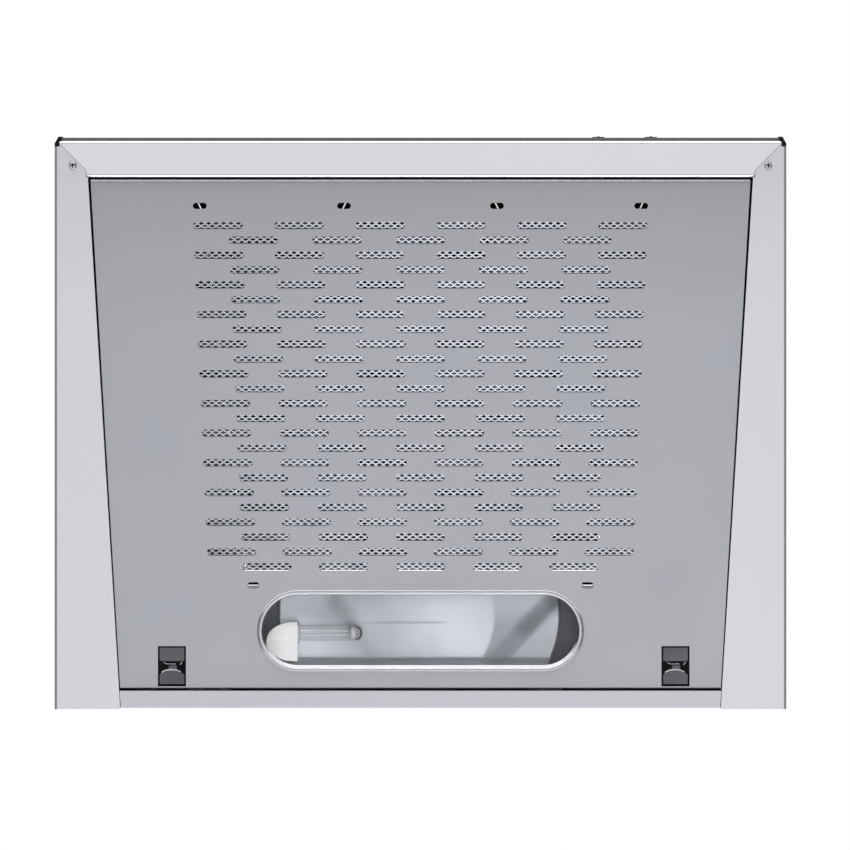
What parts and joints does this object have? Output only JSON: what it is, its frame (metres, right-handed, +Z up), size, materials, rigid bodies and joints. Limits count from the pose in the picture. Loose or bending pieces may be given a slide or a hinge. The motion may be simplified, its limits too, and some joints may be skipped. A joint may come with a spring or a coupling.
{
  "type": "range hood",
  "caption": "Under-cabinet range hood with a hinged slotted grille, grease filter, lamp, sliding latches, slider controls, centrifugal blower and a round duct collar with non-return flaps.",
  "frame": {"origin": "centre of the underside, midway between the slider knobs' tips and the wall plane", "axes": "+X to the right seen from the front, +Y to the wall, +Z up"},
  "size_m": [0.6, 0.47, 0.17],
  "materials": {
    "casing_paint": "smooth silver-grey powder coat",
    "grille_paint": "smooth silver-grey powder coat",
    "fascia_paint": "satin dark grey coat",
    "black_plastic": "moulded, matt",
    "knob_plastic": "moulded, satin",
    "switch_plastic": "moulded, matt",
    "latch_plastic": "moulded, satin",
    "zinc_steel": "zinc plated",
    "spring_steel": "bright drawn wire",
    "filter_aluminium": "bright expanded foil",
    "lens_plastic": "clear, smooth",
    "reflector_paint": "gloss white",
    "bulb_glass": "opal",
    "white_plastic": "moulded, matt",
    "blower_plastic": "moulded, matt",
    "motor_steel": "zinc coated shell",
    "shaft_steel": "ground",
    "collar_plastic": "moulded, matt"
  },
  "bodies": {
    "casing": {"side_panel_left": "casing_paint", "side_panel_right": "casing_paint", "front_panel": "casing_paint", "back_panel": "casing_paint", "top_panel": "casing_paint", "control_fascia": "fascia_paint", "end_cap_left": "black_plastic", "end_cap_right": "black_plastic", "corner_screws": "zinc_steel", "hinge_brackets": "zinc_steel", "light_switch": "switch_plastic", "speed_switch": "switch_plastic", "lamp_reflector": "reflector_paint", "lamp_holder": "white_plastic", "lamp_bulb": "bulb_glass", "scroll_base": "blower_plastic", "scroll_cover": "blower_plastic", "inlet_ring": "blower_plastic", "fan_motor": "motor_steel", "motor_screws": "zinc_steel", "fan_screws": "zinc_steel", "duct_collar": "collar_plastic", "collar_screws": "zinc_steel", "flap_pin": "zinc_steel", "terminal_box": "white_plastic", "terminal_lid": "white_plastic", "lid_screws": "zinc_steel", "terminal_block": "switch_plastic", "motor_capacitor": "white_plastic", "cable_gland": "black_plastic"},
    "grille": {"grille_panel": "grille_paint", "hinge_pins": "zinc_steel", "filter_frame": "filter_aluminium", "filter_mesh": "filter_aluminium", "lamp_lens": "lens_plastic", "latch_guide_left": "latch_plastic", "latch_guide_right": "latch_plastic", "latch_spring_left": "spring_steel", "latch_spring_right": "spring_steel"},
    "light_slider": {"light_slider": "knob_plastic"},
    "speed_slider": {"speed_slider": "knob_plastic"},
    "filter_wire_left": {"filter_wire_left": "spring_steel"},
    "filter_wire_right": {"filter_wire_right": "spring_steel"},
    "latch_left": {"latch_slider_left": "latch_plastic"},
    "latch_right": {"latch_slider_right": "latch_plastic"},
    "fan": {"fan_shaft": "shaft_steel", "impeller": "blower_plastic", "shaft_nut": "zinc_steel"},
    "flap_front": {"flap_front": "collar_plastic"},
    "flap_rear": {"flap_rear": "collar_plastic"}
  },
  "joints": [
    {"name": "light_slide", "type": "slide", "parent": "casing", "child": "light_slider", "axis": [1, 0, 0], "range_m": [0, 0.008]},
    {"name": "speed_slide", "type": "slide", "parent": "casing", "child": "speed_slider", "axis": [1, 0, 0], "range_m": [0, 0.024]},
    {"name": "grille_hinge", "type": "hinge", "parent": "casing", "child": "grille", "pos_m": [0, -0.1966, 0.0055], "axis": [-1, 0, 0], "range_deg": [0, 90]},
    {"name": "filter_wire_left_swing", "type": "hinge", "parent": "grille", "child": "filter_wire_left", "pos_m": [-0.122, -0.1816, 0.0042], "axis": [1, 0, 0], "range_deg": [0, 7]},
    {"name": "filter_wire_right_swing", "type": "hinge", "parent": "grille", "child": "filter_wire_right", "pos_m": [0.122, -0.1816, 0.0042], "axis": [1, 0, 0], "range_deg": [0, 7]},
    {"name": "latch_left_slide", "type": "slide", "parent": "grille", "child": "latch_left", "axis": [0, 1, 0], "range_m": [0, 0.004], "stiffness_N_per_m": 300, "springref_m": 0.004, "deforming": ["latch_spring_left"]},
    {"name": "latch_right_slide", "type": "slide", "parent": "grille", "child": "latch_right", "axis": [0, 1, 0], "range_m": [0, 0.004], "stiffness_N_per_m": 300, "springref_m": 0.004, "deforming": ["latch_spring_right"]},
    {"name": "fan_spin", "type": "hinge", "parent": "casing", "child": "fan", "pos_m": [-0.0565, 0.03, 0.09], "axis": [0, 0, 1], "continuous": true},
    {"name": "flap_front_swing", "type": "hinge", "parent": "casing", "child": "flap_front", "pos_m": [0, 0.16, 0.143], "axis": [-1, 0, 0], "range_deg": [0, 80]},
    {"name": "flap_rear_swing", "type": "hinge", "parent": "casing", "child": "flap_rear", "pos_m": [0, 0.16, 0.143], "axis": [1, 0, 0], "range_deg": [0, 80]}
  ]
}
